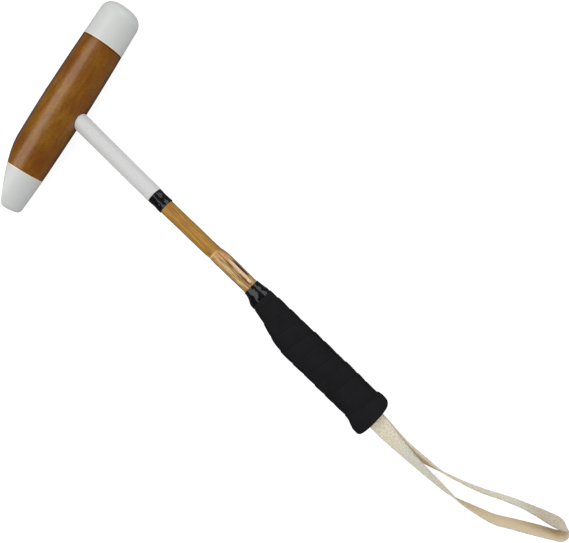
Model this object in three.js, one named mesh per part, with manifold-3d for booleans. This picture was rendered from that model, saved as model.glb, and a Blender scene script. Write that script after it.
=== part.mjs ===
// Polo mallet: a turned wooden head on a bamboo cane, with a wrapped handle and a webbing wrist sling.
// Millimetres. The mallet lies on its side on a flat surface, resting on the head's belly and the butt's
// flare: +X runs along the cane to the butt, +Y to the toe of the head and +Z up. The origin lies on the
// surface, under the middle of the rigid pieces.
// Each piece is worked out on the cane's own axis, from the point where it crosses the head's axis.

import * as THREE from 'three';
import { mergeVertices } from 'three/addons/utils/BufferGeometryUtils.js';
import Module from 'manifold-3d';

const wasm = await Module();
wasm.setup();

// Head
const headLength = 234;
const headRadius = 22.8;
const headLean = THREE.MathUtils.degToRad(11.9);
const caneFromToe = 116.2;
const toeRound = 12.5;
const heelRound = 4;
const soleCutLength = 64.6;
const soleCutAngle = THREE.MathUtils.degToRad(24.6);
const toeCoatLength = 42.3;
const heelCoatLength = 39.5;
const coatWall = 0.7;

// Cane
const caneLowerRadius = 7.9;
const caneUpperRadius = 8.65;
const caneHandleRadius = 8.4;
const caneBow = 0.5;
const nodeStation = 217;
const nodeRise = 12;
const nodeWaist = 0.15;
const crookOffset = 1.3;
const crookRun = 36;
const wedgeLength = 24;
const wedgeHead = 2.4;
const wedgeTip = 0.6;

// Tapes on the cane
const whiteWrapEnd = 129;
const bandLength = 17;
const wrapWall = 0.9;
const tapeWall = 0.4;
const tapeGap = 0.2;

// Handle
const butt = 447.5;
const gripLength = 166.8;
const neckLength = 16.3;
const gripWidth = 40;
const gripDepth = 32;
const gripWall = 1.6;
const lapPitch = 15;
const lapHeight = 0.8;
const lapFadeLength = 24;
const lapFadeShare = 0.8;
const rimRadius = 3.5;
const lipWidth = 1.5;

// Sling
const slingWidth = 19;
const slingThickness = 1.6;
const slingGap = 0.5;
const slingOffset = 6.4;
const slingMouthClearance = 0.5;
const slotDepth = 44;
const caneStop = 6;
const pinRadius = 1.25;
const pinLength = 26.5;
const pinInset = 16;
const pinSpacing = 18;

// Clearance between pieces, and how far a cutting tool runs past what it cuts
const fitGap = 0.3;
const overrun = 2;

// Facets
const headSides = 56;
const caneSides = 24;
const gripSides = 32;
const pinSides = 12;
const arcSteps = 5;
const rimSteps = 4;

// Stations along the cane, from the head's axis
const bandEnd = whiteWrapEnd + bandLength;
const wrapTop = butt - gripLength;
const neckTop = wrapTop - neckLength;
const slingStackHalf = slingThickness + slingGap / 2;
const pivotStation = butt + slingStackHalf + slingMouthClearance;

// Head radius from the heel's round (0) to the toe's round (1), as a share of the belly's
const headShares = [
  [0, 0.862], [0.032, 0.882], [0.106, 0.919], [0.142, 0.936], [0.188, 0.957], [0.257, 0.97],
  [0.349, 0.984], [0.445, 1], [0.569, 1], [0.651, 0.989], [0.745, 0.974], [0.839, 0.95],
  [0.931, 0.921], [1, 0.905],
];

// Handle outline from the neck (0) to the butt (1): toe side and heel side as shares of the grip's
// width, measured from the cane's axis, and the half depth as a share of the grip's depth
const handleShares = [
  [0, 0.268, 0.205, 0.3], [0.03, 0.273, 0.212, 0.305], [0.06, 0.303, 0.309, 0.355],
  [0.089, 0.31, 0.312, 0.362], [0.118, 0.314, 0.314, 0.372], [0.146, 0.317, 0.343, 0.392],
  [0.2, 0.323, 0.41, 0.424], [0.256, 0.328, 0.494, 0.455], [0.311, 0.334, 0.566, 0.478],
  [0.366, 0.339, 0.608, 0.492], [0.45, 0.345, 0.617, 0.5], [0.588, 0.354, 0.613, 0.5],
  [0.755, 0.361, 0.612, 0.5], [0.894, 0.363, 0.618, 0.502], [0.908, 0.366, 0.628, 0.51],
  [0.937, 0.404, 0.71, 0.557], [0.949, 0.412, 0.728, 0.568], [0.978, 0.41, 0.741, 0.584],
  [1, 0.409, 0.743, 0.59],
];
const handleSquareness = 2.3;

// Route of the webbing's middle line from the pivot at the butt, and its lean in degrees: 0 flat, 90 on
// edge. It leaves on top, lies down on its edge, folds round and comes back underneath.
const slingRoute = [
  [0, 0, 1.05, 0], [8, -0.3, 0.9, 9], [17, -1.3, 0.6, 24], [35, -2.4, -0.8, 42], [53.4, -3, -3.4, 55],
  [72, -3.1, -6.2, 64], [89.7, -2.7, -8.3, 70], [106.6, -2.2, -9.1, 77], [122.7, -0.6, -9.2, 87],
  [136.4, 3.1, -9.2, 96], [150, 7.1, -9.3, 104], [162.8, 11.7, -9.4, 107], [174.2, 18.2, -9.4, 107],
  [185.5, 24.8, -9.4, 110], [196.5, 31.2, -9.4, 111], [207.6, 37.6, -9.4, 111], [215.4, 42.1, -9.4, 109],
  [222, 46.2, -9.3, 106], [224.3, 50, -9.2, 98], [223.8, 54.2, -9.2, 89], [221.8, 57.6, -9.3, 78],
  [217.2, 56.8, -9.5, 66], [213, 55.6, -9.7, 61], [209, 54.2, -9.8, 61], [200.5, 51.4, -9.7, 64],
  [191.4, 48.7, -9.5, 71], [181.6, 45.5, -9.3, 77], [168.9, 41, -9.2, 83], [156.8, 35.6, -9.2, 86],
  [145, 29.9, -9.2, 89], [133, 24.2, -9.2, 89], [120.7, 19, -9.2, 91], [107.8, 14.5, -9.2, 94],
  [94.6, 10.3, -9.1, 96], [80.3, 6.6, -8.9, 104], [66.2, 4, -8, 116], [51.3, 1.5, -5.6, 127],
  [34.8, -0.1, -3, 139], [17, -0.2, -1.3, 156], [8, -0.2, -1.2, 171], [0, 0, -1.05, 180],
];

// Joins and cuts

function solidOf(geometry) {
  const bare = geometry.clone();
  bare.deleteAttribute('normal');
  bare.deleteAttribute('uv');
  const merged = mergeVertices(bare);
  const corners = merged.index.array;
  const kept = [];
  for (let i = 0; i < corners.length; i += 3) {
    const [a, b, c] = corners.slice(i, i + 3);
    if (a !== b && b !== c && c !== a) kept.push(a, b, c);
  }
  const vertProperties = Float32Array.from(merged.attributes.position.array);
  const mesh = new wasm.Mesh({ numProp: 3, vertProperties, triVerts: Uint32Array.from(kept) });
  return new wasm.Manifold(mesh);
}

function geometryOf(solid) {
  const mesh = solid.getMesh();
  const geometry = new THREE.BufferGeometry();
  geometry.setAttribute('position', new THREE.BufferAttribute(Float32Array.from(mesh.vertProperties), 3));
  geometry.setIndex(new THREE.BufferAttribute(Uint32Array.from(mesh.triVerts), 1));
  geometry.computeVertexNormals();
  return geometry;
}

// Curves in one number

function smoothRise(value, from, to) {
  return THREE.MathUtils.smoothstep(value, from, to);
}

function sampleShares(table, along) {
  const last = table.length - 1;
  const at = Math.min(Math.max(along, 0), 1);
  let row = 0;
  while (row < last - 1 && table[row + 1][0] < at) row += 1;
  const [low, high] = [table[row], table[row + 1]];
  const part = (at - low[0]) / (high[0] - low[0]);
  return low.slice(1).map((value, i) => value + (high[i + 1] - value) * part);
}

function stationsBetween(from, to, count) {
  return Array.from({ length: count + 1 }, (_, i) => from + ((to - from) * i) / count);
}

// A closed skin over rings of points that run anticlockwise about the way from the first to the last
function loft(rings) {
  const sides = rings[0].length;
  const positions = [];
  const index = [];
  rings.flat().forEach((point) => positions.push(point.x, point.y, point.z));
  for (let i = 0; i + 1 < rings.length; i += 1) {
    for (let j = 0; j < sides; j += 1) {
      const next = (j + 1) % sides;
      const [a, b, c, d] = [i * sides + j, i * sides + next, (i + 1) * sides + next, (i + 1) * sides + j];
      index.push(a, b, c, a, c, d);
    }
  }
  [rings[0], rings[rings.length - 1]].forEach((ring, end) => {
    const middle = ring.reduce((sum, point) => sum.add(point), new THREE.Vector3()).divideScalar(sides);
    const centre = positions.length / 3;
    const first = end * (rings.length - 1) * sides;
    positions.push(middle.x, middle.y, middle.z);
    for (let j = 0; j < sides; j += 1) {
      const [a, b] = [first + j, first + ((j + 1) % sides)];
      if (end === 0) index.push(centre, b, a);
      else index.push(centre, a, b);
    }
  });
  const geometry = new THREE.BufferGeometry();
  geometry.setAttribute('position', new THREE.Float32BufferAttribute(positions, 3));
  geometry.setIndex(index);
  return geometry;
}

// A box given by its lowest and highest corners
function blockBetween(low, high) {
  const size = new THREE.Vector3().subVectors(high, low);
  const middle = new THREE.Vector3().addVectors(low, high).multiplyScalar(0.5);
  return new THREE.BoxGeometry(size.x, size.y, size.z).translate(middle.x, middle.y, middle.z);
}

// Head

const toeEnd = caneFromToe;
const heelEnd = caneFromToe - headLength;

function cornerArc(centreRadius, centreHeight, radius, from, to) {
  return stationsBetween(from, to, arcSteps).map((angle) => new THREE.Vector2(
    centreRadius + radius * Math.cos(angle),
    centreHeight + radius * Math.sin(angle),
  ));
}

// The turned outline, its whole surface moved in by an inset, with +Y to the toe
function headProfile(inset) {
  const [low, high] = [heelEnd + heelRound, toeEnd - toeRound];
  const belly = headShares.map(([along, share]) => new THREE.Vector2(
    headRadius * share - inset,
    low + (high - low) * along,
  ));
  const heelCorner = headRadius * headShares[0][1] - heelRound;
  const toeCorner = headRadius * headShares[headShares.length - 1][1] - toeRound;
  return [
    new THREE.Vector2(0, heelEnd + inset),
    ...cornerArc(heelCorner, low, heelRound - inset, -Math.PI / 2, 0),
    ...belly.slice(1, -1),
    ...cornerArc(toeCorner, high, toeRound - inset, 0, Math.PI / 2),
    new THREE.Vector2(0, toeEnd - inset),
  ];
}

function headRadiusAt(height) {
  const [low, high] = [heelEnd + heelRound, toeEnd - toeRound];
  return headRadius * sampleShares(headShares, (height - low) / (high - low))[0];
}

// What the slanting cut under the heel takes away
function soleCutter(inset) {
  const size = 2 * headLength;
  const start = heelEnd + soleCutLength;
  const tool = new THREE.BoxGeometry(size, size, size).translate(size / 2 - inset, 0, 0);
  return tool.rotateZ(Math.PI + soleCutAngle).translate(-headRadiusAt(start), start, 0).rotateZ(headLean);
}

function headSolid(inset) {
  const turned = solidOf(new THREE.LatheGeometry(headProfile(inset), headSides).rotateZ(headLean));
  return turned.subtract(solidOf(soleCutter(inset)));
}

function headSlab(low, high) {
  const half = 2 * headRadius;
  const slab = blockBetween(new THREE.Vector3(-half, low, -half), new THREE.Vector3(half, high, half));
  return solidOf(slab.rotateZ(headLean));
}

function makeHeadBarrel() {
  const bare = headSlab(heelEnd + heelCoatLength, toeEnd - toeCoatLength).intersect(headSolid(0));
  const turnedDown = headSolid(coatWall + fitGap);
  const bore = loft(caneRings([-2 * headRadius, ...stationsBetween(0, 2 * headRadius, 3)], fitGap));
  return geometryOf(bare.add(turnedDown).subtract(solidOf(bore)));
}

function makeCoat(low, high) {
  const shell = headSolid(0).subtract(headSolid(coatWall));
  return geometryOf(shell.intersect(headSlab(low, high)));
}

const makeToeCoat = () => makeCoat(toeEnd - toeCoatLength + fitGap, toeEnd + overrun);
const makeHeelCoat = () => makeCoat(heelEnd - overrun, heelEnd + heelCoatLength - fitGap);

// Cane

const crookStart = nodeStation - crookRun / 2;
const crookEnd = nodeStation + crookRun / 2;
const crookBack = neckTop + 2 * neckLength;

function caneRadiusAt(station) {
  const foot = nodeStation - nodeRise / 3;
  const upper = smoothRise(station, foot, foot + nodeRise) * (caneUpperRadius - caneLowerRadius);
  const scraped = smoothRise(station, crookEnd, neckTop) * (caneHandleRadius - caneUpperRadius);
  const waist = nodeWaist * Math.exp(-(((station - foot) / (nodeRise / 2)) ** 2));
  return caneLowerRadius + upper + scraped - waist;
}

// How far the cane's middle lies to the toe side: a slight bow to the heel side at the band, then a kink
// to the toe side at its node, until the handle
function crookAt(station) {
  const bow = smoothRise(station, 0, whiteWrapEnd) - smoothRise(station, bandEnd, crookStart);
  const kink = smoothRise(station, crookStart, crookEnd) - smoothRise(station, neckTop, crookBack);
  return crookOffset * kink - caneBow * bow;
}

function caneRings(stations, grow) {
  return stations.map((station) => Array.from({ length: caneSides }, (_, j) => {
    const angle = (2 * Math.PI * j) / caneSides;
    const radius = caneRadiusAt(station) + grow;
    return new THREE.Vector3(station, crookAt(station) + radius * Math.cos(angle), radius * Math.sin(angle));
  }));
}

const footStation = -headRadius / Math.cos(headLean) - caneLowerRadius;
const caneEnd = butt - slotDepth - caneStop;
const caneStations = [
  footStation,
  ...stationsBetween(0, whiteWrapEnd, 4),
  ...stationsBetween(bandEnd, crookStart, 4),
  ...stationsBetween(crookStart, crookEnd, 10).slice(1),
  ...stationsBetween(crookEnd, neckTop, 4).slice(1),
  ...stationsBetween(neckTop, crookBack, 8).slice(1),
  caneEnd,
];

// A wedge that thins from the foot upwards, across the cane
function wedgeBlock(grow, halfWidth) {
  const foot = footStation - grow;
  const tip = footStation + caneLowerRadius + wedgeLength + grow;
  const outline = new THREE.Shape([
    new THREE.Vector2(foot, -wedgeHead / 2 - grow),
    new THREE.Vector2(tip, -wedgeTip / 2 - grow),
    new THREE.Vector2(tip, wedgeTip / 2 + grow),
    new THREE.Vector2(foot, wedgeHead / 2 + grow),
  ]);
  const block = new THREE.ExtrudeGeometry(outline, { depth: 2 * halfWidth, bevelEnabled: false });
  return solidOf(block.translate(0, 0, -halfWidth));
}

// The head's own shape below the cane's axis, and everything above it
function flushWithSole() {
  const reach = butt + headRadius;
  const above = blockBetween(new THREE.Vector3(0, -reach, -reach), new THREE.Vector3(reach, reach, reach));
  return headSolid(0).add(solidOf(above));
}

function makeCaneShaft() {
  const cane = solidOf(loft(caneRings(caneStations, 0)));
  const kerf = wedgeBlock(fitGap, caneLowerRadius + overrun);
  return geometryOf(cane.intersect(flushWithSole()).subtract(kerf));
}

function makeFootWedge() {
  const cane = solidOf(loft(caneRings(caneStations, 0)));
  return geometryOf(wedgeBlock(0, caneLowerRadius).intersect(cane).intersect(flushWithSole()));
}

// Tapes

function caneSleeve(from, to, steps, wall) {
  const stations = stationsBetween(from, to, steps);
  const bore = stationsBetween(from - overrun, to + overrun, steps);
  const outside = solidOf(loft(caneRings(stations, tapeGap + wall)));
  return outside.subtract(solidOf(loft(caneRings(bore, tapeGap))));
}

function makeWhiteWrap() {
  return geometryOf(caneSleeve(0, whiteWrapEnd, 4, wrapWall).subtract(headSolid(-fitGap)));
}

const makeBlackBand = () => geometryOf(caneSleeve(whiteWrapEnd + tapeGap, bandEnd, 1, tapeWall));

// Handle: an oval whose middle lies to the heel side of the cane

function handleEdge(station, inset) {
  const [toe, heel, depth] = sampleShares(handleShares, (station - neckTop) / (butt - neckTop));
  return {
    middle: (gripWidth * (toe - heel)) / 2,
    halfWidth: (gripWidth * (toe + heel)) / 2 - inset,
    halfDepth: gripDepth * depth - inset,
  };
}

// The same with the butt's rim rounded over
function rimmedEdge(station, inset) {
  const innerRim = Math.min(Math.max(rimRadius - inset, 0), rimRadius);
  const over = Math.min(Math.max(station - butt + rimRadius, 0), innerRim);
  return handleEdge(station, inset + innerRim - Math.sqrt(innerRim ** 2 - over ** 2));
}

function ovalPoint(station, edge, angle) {
  const [across, up] = [Math.cos(angle), Math.sin(angle)];
  const power = 2 / handleSquareness;
  return new THREE.Vector3(
    station,
    edge.middle + edge.halfWidth * Math.sign(across) * Math.abs(across) ** power,
    edge.halfDepth * Math.sign(up) * Math.abs(up) ** power,
  );
}

function ovalRing(station, edge) {
  return Array.from({ length: gripSides }, (_, j) => (
    ovalPoint(station, edge, (2 * Math.PI * j) / gripSides)
  ));
}

function handleRings(stations, inset) {
  return stations.map((station) => ovalRing(station, rimmedEdge(station, inset)));
}

function handleStations(from, to) {
  const length = butt - neckTop;
  const inside = handleShares.map(([along]) => neckTop + length * along);
  return [from, ...inside.filter((station) => station > from && station < to - rimRadius)];
}

// The handle's shape with its whole surface moved in by an inset, from a station to the butt
function handleBody(from, inset) {
  const rim = stationsBetween(butt - rimRadius, butt - Math.max(inset, 0), rimSteps);
  return handleRings([...handleStations(from, butt), ...rim], inset);
}

function slingSlot() {
  const halfWidth = slingWidth / 2 + fitGap;
  const halfHeight = slingStackHalf + fitGap;
  const low = new THREE.Vector3(butt - slotDepth, -slingOffset - halfWidth, -halfHeight);
  const high = new THREE.Vector3(butt + overrun, -slingOffset + halfWidth, halfHeight);
  return solidOf(blockBetween(low, high));
}

function pinRod(station, radius, length) {
  const rod = new THREE.CylinderGeometry(radius, radius, length, pinSides);
  return rod.rotateX(Math.PI / 2).translate(station, -slingOffset, 0);
}

const pinStations = [butt - pinInset - pinSpacing, butt - pinInset];

function drillForPins(solid) {
  const drills = pinStations.map((station) => solidOf(pinRod(station, pinRadius + fitGap, gripDepth * 2)));
  return drills.reduce((left, drill) => left.subtract(drill), solid);
}

function makeHandleHalf(side) {
  const reach = gripWidth * 2;
  const core = solidOf(loft(handleBody(wrapTop + fitGap, gripWall + fitGap)));
  const low = new THREE.Vector3(neckTop, -reach, side > 0 ? fitGap / 2 : -reach);
  const high = new THREE.Vector3(butt + overrun, reach, side > 0 ? reach : -fitGap / 2);
  const groove = [...stationsBetween(wrapTop - overrun, crookBack, 5), caneEnd + fitGap];
  const half = core.intersect(solidOf(blockBetween(low, high)));
  const hollowed = half.subtract(solidOf(loft(caneRings(groove, fitGap)))).subtract(slingSlot());
  return geometryOf(drillForPins(hollowed));
}

function makeNeckTape() {
  const outside = solidOf(loft(handleRings([...handleStations(neckTop, wrapTop - fitGap), wrapTop - fitGap], 0)));
  const bore = [neckTop - overrun, ...stationsBetween(neckTop, wrapTop, 6), wrapTop + overrun];
  return geometryOf(outside.subtract(solidOf(loft(caneRings(bore, tapeGap)))));
}

// The wound rubber: one strip that laps over its last turn, each turn standing proud of the one nearer
// the head. A row is a place across the strip, and its share is the strip's lift there.
const lapRowShares = [[0, 0.7], [0.08, 1], [0.35, 0.65], [0.7, 0.25], [1, 0]];

function lapLift(station, share) {
  const fade = 1 - lapFadeShare * smoothRise(station, butt - lapFadeLength, butt);
  return lapHeight * share * fade;
}

// A point of the strip, k steps of a turn from the head end of the wrap
function lapPoint(k, across, share) {
  const station = wrapTop + lapPitch * (k / gripSides + across - 1);
  const angle = (-2 * Math.PI * (k % gripSides)) / gripSides;
  return ovalPoint(station, handleEdge(station, -lapLift(station, share)), angle);
}

// All of the turns with one to spare at each end, closed by a fan at both ends
function makeTurns() {
  const turns = Math.ceil(gripLength / lapPitch) + 2;
  const rows = lapRowShares.length;
  const positions = [];
  const index = [];
  for (let k = 0; k <= turns * gripSides; k += 1) {
    lapRowShares.forEach(([across, share]) => positions.push(...lapPoint(k, across, share).toArray()));
  }
  const place = (k, row) => k * rows + row;
  const quad = (a, b, c, d) => index.push(a, c, b, a, d, c);
  for (let k = 0; k < turns * gripSides; k += 1) {
    for (let row = 0; row + 1 < rows; row += 1) {
      quad(place(k, row), place(k + 1, row), place(k + 1, row + 1), place(k, row + 1));
    }
    const above = k + gripSides;
    if (above < turns * gripSides) {
      quad(place(k, rows - 1), place(k + 1, rows - 1), place(above + 1, 0), place(above, 0));
    }
  }
  const last = (turns - 1) * gripSides;
  const sideRows = Array.from({ length: rows - 1 }, (_, row) => rows - 1 - row);
  const headRim = Array.from({ length: gripSides + 1 }, (_, k) => place(k, 0));
  const buttRim = Array.from({ length: gripSides + 1 }, (_, k) => place(last + k, rows - 1));
  sideRows.forEach((row) => headRim.push(place(0, row)));
  sideRows.forEach((row) => buttRim.push(place(turns * gripSides, row - 1)));
  [headRim, buttRim].forEach((rim, end) => {
    const centre = positions.length / 3;
    const station = end === 0 ? wrapTop - lapPitch / 2 : wrapTop + lapPitch * (turns - 1 / 2);
    positions.push(station, handleEdge(station, 0).middle, 0);
    rim.forEach((a, i) => {
      const b = rim[(i + 1) % rim.length];
      if (end === 0) index.push(centre, a, b);
      else index.push(centre, b, a);
    });
  });
  const wound = new THREE.BufferGeometry();
  wound.setAttribute('position', new THREE.Float32BufferAttribute(positions, 3));
  wound.setIndex(index);
  return solidOf(wound);
}

// The room for the wood under the wrap, and the smaller mouth in the lip that turns in over its rim
function wrapBore() {
  const end = butt - gripWall;
  const mouth = handleEdge(butt, rimRadius + lipWidth);
  const body = handleBody(wrapTop - overrun, gripWall);
  return solidOf(loft([...body, ovalRing(end, mouth), ovalRing(butt + overrun, mouth)]));
}

// Clear of the turns all along, but for the round that trims them at the butt's rim
function wrapEnvelope() {
  const clear = handleStations(wrapTop, butt).map((station) => (
    ovalRing(station, handleEdge(station, -2 * lapHeight))
  ));
  const margin = lapLift(butt, 1) + fitGap / 2;
  const rim = stationsBetween(butt - rimRadius, butt, rimSteps);
  return solidOf(loft([...clear, ...handleRings(rim, -margin)]));
}

function makeGripWrap() {
  return geometryOf(makeTurns().intersect(wrapEnvelope()).subtract(wrapBore()));
}

// Sling

function makeSlingTail(side) {
  const [inner, outer] = [slingGap / 2, slingGap / 2 + slingThickness];
  const [bottom, top] = side > 0 ? [inner, outer] : [-outer, -inner];
  const from = butt - slotDepth + fitGap;
  const to = pivotStation - slingStackHalf - fitGap;
  const low = new THREE.Vector3(from, -slingOffset - slingWidth / 2, bottom);
  const high = new THREE.Vector3(to, -slingOffset + slingWidth / 2, top);
  return geometryOf(drillForPins(solidOf(blockBetween(low, high))));
}

const makeSlingPin = (station) => pinRod(station, pinRadius, pinLength);

// One flat ring of the webbing: its width turns about the route's direction by the lean
function webbingRing(middle, direction, lean, mitre) {
  const level = new THREE.Vector3(0, 0, 1).cross(direction).normalize();
  const rise = new THREE.Vector3().crossVectors(direction, level);
  const across = level.multiplyScalar(Math.cos(lean)).addScaledVector(rise, Math.sin(lean));
  const outward = new THREE.Vector3().crossVectors(direction, across);
  const [wide, thick] = [slingWidth / 2, slingThickness / 2];
  const edge = thick / 2;
  const corners = [
    [wide - edge, thick], [edge - wide, thick], [-wide, edge], [-wide, -edge],
    [edge - wide, -thick], [wide - edge, -thick], [wide, -edge], [wide, edge],
  ];
  return corners.map(([a, b]) => middle.clone()
    .addScaledVector(across, a)
    .addScaledVector(outward, b)
    .addScaledVector(direction, mitre * (thick - b)));
}

// The free loop, its two ends mitred so that they turn about the pivot clear of the butt
function makeSlingLoop() {
  const points = slingRoute.map(([x, y, z]) => new THREE.Vector3(x, y, z));
  const route = new THREE.CatmullRomCurve3(points);
  const spans = slingRoute.length - 1;
  const steps = 2 * spans;
  const rings = Array.from({ length: steps + 1 }, (_, i) => {
    const along = i / steps;
    const row = Math.min(Math.floor(along * spans), spans - 1);
    const lean = THREE.MathUtils.lerp(slingRoute[row][3], slingRoute[row + 1][3], along * spans - row);
    const atEnd = i === 0 || i === steps;
    const direction = atEnd ? new THREE.Vector3(i === 0 ? 1 : -1, 0, 0) : route.getTangent(along);
    const mitre = Number(i === steps) - Number(i === 0);
    return webbingRing(route.getPoint(along), direction, THREE.MathUtils.degToRad(lean), mitre);
  });
  return loft(rings);
}

// Finishes

const finishes = {
  stainedWood: { color: 0x8b5414, roughness: 0.42, metalness: 0 },
  whiteCoat: { color: 0xd6d8d8, roughness: 0.35, metalness: 0 },
  bamboo: { color: 0xbf8c40, roughness: 0.38, metalness: 0 },
  wedgeWood: { color: 0x6e4322, roughness: 0.6, metalness: 0 },
  whiteCloth: { color: 0xd0d0cd, roughness: 0.75, metalness: 0 },
  glossTape: { color: 0x14161c, roughness: 0.22, metalness: 0 },
  blackWood: { color: 0x1c1a19, roughness: 0.55, metalness: 0 },
  rubber: { color: 0x212123, roughness: 0.8, metalness: 0 },
  webbing: { color: 0xe1d7be, roughness: 0.9, metalness: 0 },
  steel: { color: 0x9a9a9a, roughness: 0.35, metalness: 1 },
};

function piece(name, geometry, finish) {
  const mesh = new THREE.Mesh(geometry, new THREE.MeshStandardMaterial(finishes[finish]));
  mesh.name = name;
  return mesh;
}

// The rigid mallet

function makeMallet() {
  const mallet = new THREE.Group();
  mallet.add(
    piece('head_barrel', makeHeadBarrel(), 'stainedWood'),
    piece('toe_coat', makeToeCoat(), 'whiteCoat'),
    piece('heel_coat', makeHeelCoat(), 'whiteCoat'),
    piece('cane_shaft', makeCaneShaft(), 'bamboo'),
    piece('cane_foot_wedge', makeFootWedge(), 'wedgeWood'),
    piece('white_cloth_wrap', makeWhiteWrap(), 'whiteCloth'),
    piece('black_band', makeBlackBand(), 'glossTape'),
    piece('neck_tape', makeNeckTape(), 'glossTape'),
    piece('handle_half_upper', makeHandleHalf(1), 'blackWood'),
    piece('handle_half_lower', makeHandleHalf(-1), 'blackWood'),
    piece('grip_wrap', makeGripWrap(), 'rubber'),
    piece('sling_tail_upper', makeSlingTail(1), 'webbing'),
    piece('sling_tail_lower', makeSlingTail(-1), 'webbing'),
    piece('sling_pin_inner', makeSlingPin(pinStations[0]), 'steel'),
    piece('sling_pin_outer', makeSlingPin(pinStations[1]), 'steel'),
  );
  return mallet;
}

// It turns about the head's axis until the flare touches the surface that the head's belly lies on
function layDown(mallet) {
  const toeward = new THREE.Vector3(-Math.sin(headLean), Math.cos(headLean), 0);
  const flareStation = butt - rimRadius;
  const flareHalfDepth = handleEdge(flareStation, 0).halfDepth + lapLift(flareStation, 1);
  const tilt = Math.asin((headRadius - flareHalfDepth) / (flareStation * Math.cos(headLean)));
  mallet.setRotationFromAxisAngle(toeward, tilt);
  const extent = new THREE.Box3().setFromObject(mallet, true);
  const middle = extent.getCenter(new THREE.Vector3());
  mallet.position.set(-middle.x, -middle.y, -extent.min.z);
  mallet.updateMatrixWorld();
}

function makePart() {
  const part = new THREE.Group();
  const mallet = makeMallet();
  layDown(mallet);
  const loop = piece('sling_loop', makeSlingLoop(), 'webbing');
  loop.position.copy(mallet.localToWorld(new THREE.Vector3(pivotStation, -slingOffset, 0)));
  part.add(mallet, loop);
  return part;
}

export default makePart();
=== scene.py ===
# Polo mallet lying on its side on a white surface, seen from straight above.
# Sizes are in millimetres on the cane's own axis, from the point where it crosses the head's axis:
# X runs to the butt, Y to the toe of the head and Z up. place() turns them into the frame's metres.
# Materials measure in metres. A ramp is (low, high, value at low, value at high), a span (low, high, edge),
# a noise (scale, detail) and a bump (distance, strength).
import math

import bpy
import numpy as np
from mathutils import Matrix


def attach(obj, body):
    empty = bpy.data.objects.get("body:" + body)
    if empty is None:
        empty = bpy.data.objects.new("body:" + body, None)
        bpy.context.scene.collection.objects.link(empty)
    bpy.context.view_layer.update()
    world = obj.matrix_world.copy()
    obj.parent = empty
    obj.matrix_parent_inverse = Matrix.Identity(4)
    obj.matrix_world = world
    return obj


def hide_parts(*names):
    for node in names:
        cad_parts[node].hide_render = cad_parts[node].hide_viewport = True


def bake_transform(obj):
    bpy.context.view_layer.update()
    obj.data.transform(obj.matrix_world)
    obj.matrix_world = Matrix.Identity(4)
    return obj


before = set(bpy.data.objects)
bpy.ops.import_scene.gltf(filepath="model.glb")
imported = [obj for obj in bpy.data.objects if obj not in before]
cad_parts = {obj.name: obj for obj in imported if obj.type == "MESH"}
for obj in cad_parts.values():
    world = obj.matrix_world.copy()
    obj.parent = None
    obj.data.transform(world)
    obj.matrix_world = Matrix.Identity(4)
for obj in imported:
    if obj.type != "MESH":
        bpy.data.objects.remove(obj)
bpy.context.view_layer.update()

mallet = {
    "crossing": (-202.964, -0.903, 22.799), "lean": math.radians(11.9), "tilt": math.radians(0.513),
    "butt": 447.5, "gripLength": 166.8, "neckLength": 16.3,
}
metre = 1000.0
fewestRings = 4
wrapTop = mallet["butt"] - mallet["gripLength"]
neckTop = wrapTop - mallet["neckLength"]


# Small curves

# 0 at low and 1 at high, level at both: s^2 (3 - 2 s), where s is the share of the way
def smoothRise(value, low, high):
    share = np.clip((value - low) / (high - low), 0, 1)
    return share * share * (3 - 2 * share)


# 0 below -blend, value above blend, and between them the parabola (value + blend)^2 / (4 blend)
def softExcess(value, blend):
    middle = (value + blend) ** 2 / (4 * blend)
    return np.where(value < -blend, 0.0, np.where(value > blend, value, middle))


# Even angles round a circle
def anglesRound(columns):
    return np.linspace(0, 2 * math.pi, columns, endpoint=False)


# Values side by side in a last axis, each spread to the shape of all
def joined(*parts):
    return np.stack(np.broadcast_arrays(*parts), -1)


# Vectors cut to a length of 1
def unit(vectors):
    return vectors / np.linalg.norm(vectors, axis=-1, keepdims=True)


# Random heights from -1 to 1 on a grid that joins up round its columns. Each pass is an average of three
def softNoise(rows, columns, seed, reach):
    heights = np.random.default_rng(seed).uniform(-1, 1, (rows, columns))
    for _ in range(reach):
        heights = (heights + np.roll(heights, 1, 1) + np.roll(heights, -1, 1)) / 3
        inner = (heights[:-2] + heights[1:-1] + heights[2:]) / 3
        heights = np.vstack([heights[:1], inner, heights[-1:]])
    return heights / np.abs(heights).max()


# From the cane's axis to the frame

# Rotation by an angle about a unit axis: cos I + sin K + (1 - cos) a a'
def turnAbout(axis, angle):
    x, y, z = axis
    cross = np.array([[0, -z, y], [z, 0, -x], [-y, x, 0]])
    outer = np.outer(axis, axis)
    return math.cos(angle) * np.eye(3) + math.sin(angle) * cross + (1 - math.cos(angle)) * outer


# The cane's tilt about the head's axis, then the step to the crossing
def place(points):
    toeward = (-math.sin(mallet["lean"]), math.cos(mallet["lean"]), 0.0)
    turn = turnAbout(toeward, mallet["tilt"])
    return (np.asarray(points) @ turn.T + np.array(mallet["crossing"])) / metre


# A point of the head, across away from the sole and along to the toe, turned by the head's lean
def fromHead(across, along, up):
    lean = mallet["lean"]
    x = across * math.cos(lean) - along * math.sin(lean)
    y = across * math.sin(lean) + along * math.cos(lean)
    return joined(x, y, up)


# Meshes from grids

# Quads between the rows, round the columns, and a fan over each end row. The two poles come last
def skinFaces(rows, columns):
    i, j = np.meshgrid(np.arange(rows - 1), np.arange(columns), indexing="ij")
    near, far = i * columns + j, i * columns + (j + 1) % columns
    quads = joined(near, far, far + columns, near + columns).reshape(-1, 4)
    j = np.arange(columns)
    first, last = rows * columns, rows * columns + 1
    base = (rows - 1) * columns
    startFan = joined((j + 1) % columns, j, first)
    endFan = joined(base + j, base + (j + 1) % columns, last)
    return quads, np.vstack([startFan, endFan])


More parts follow.
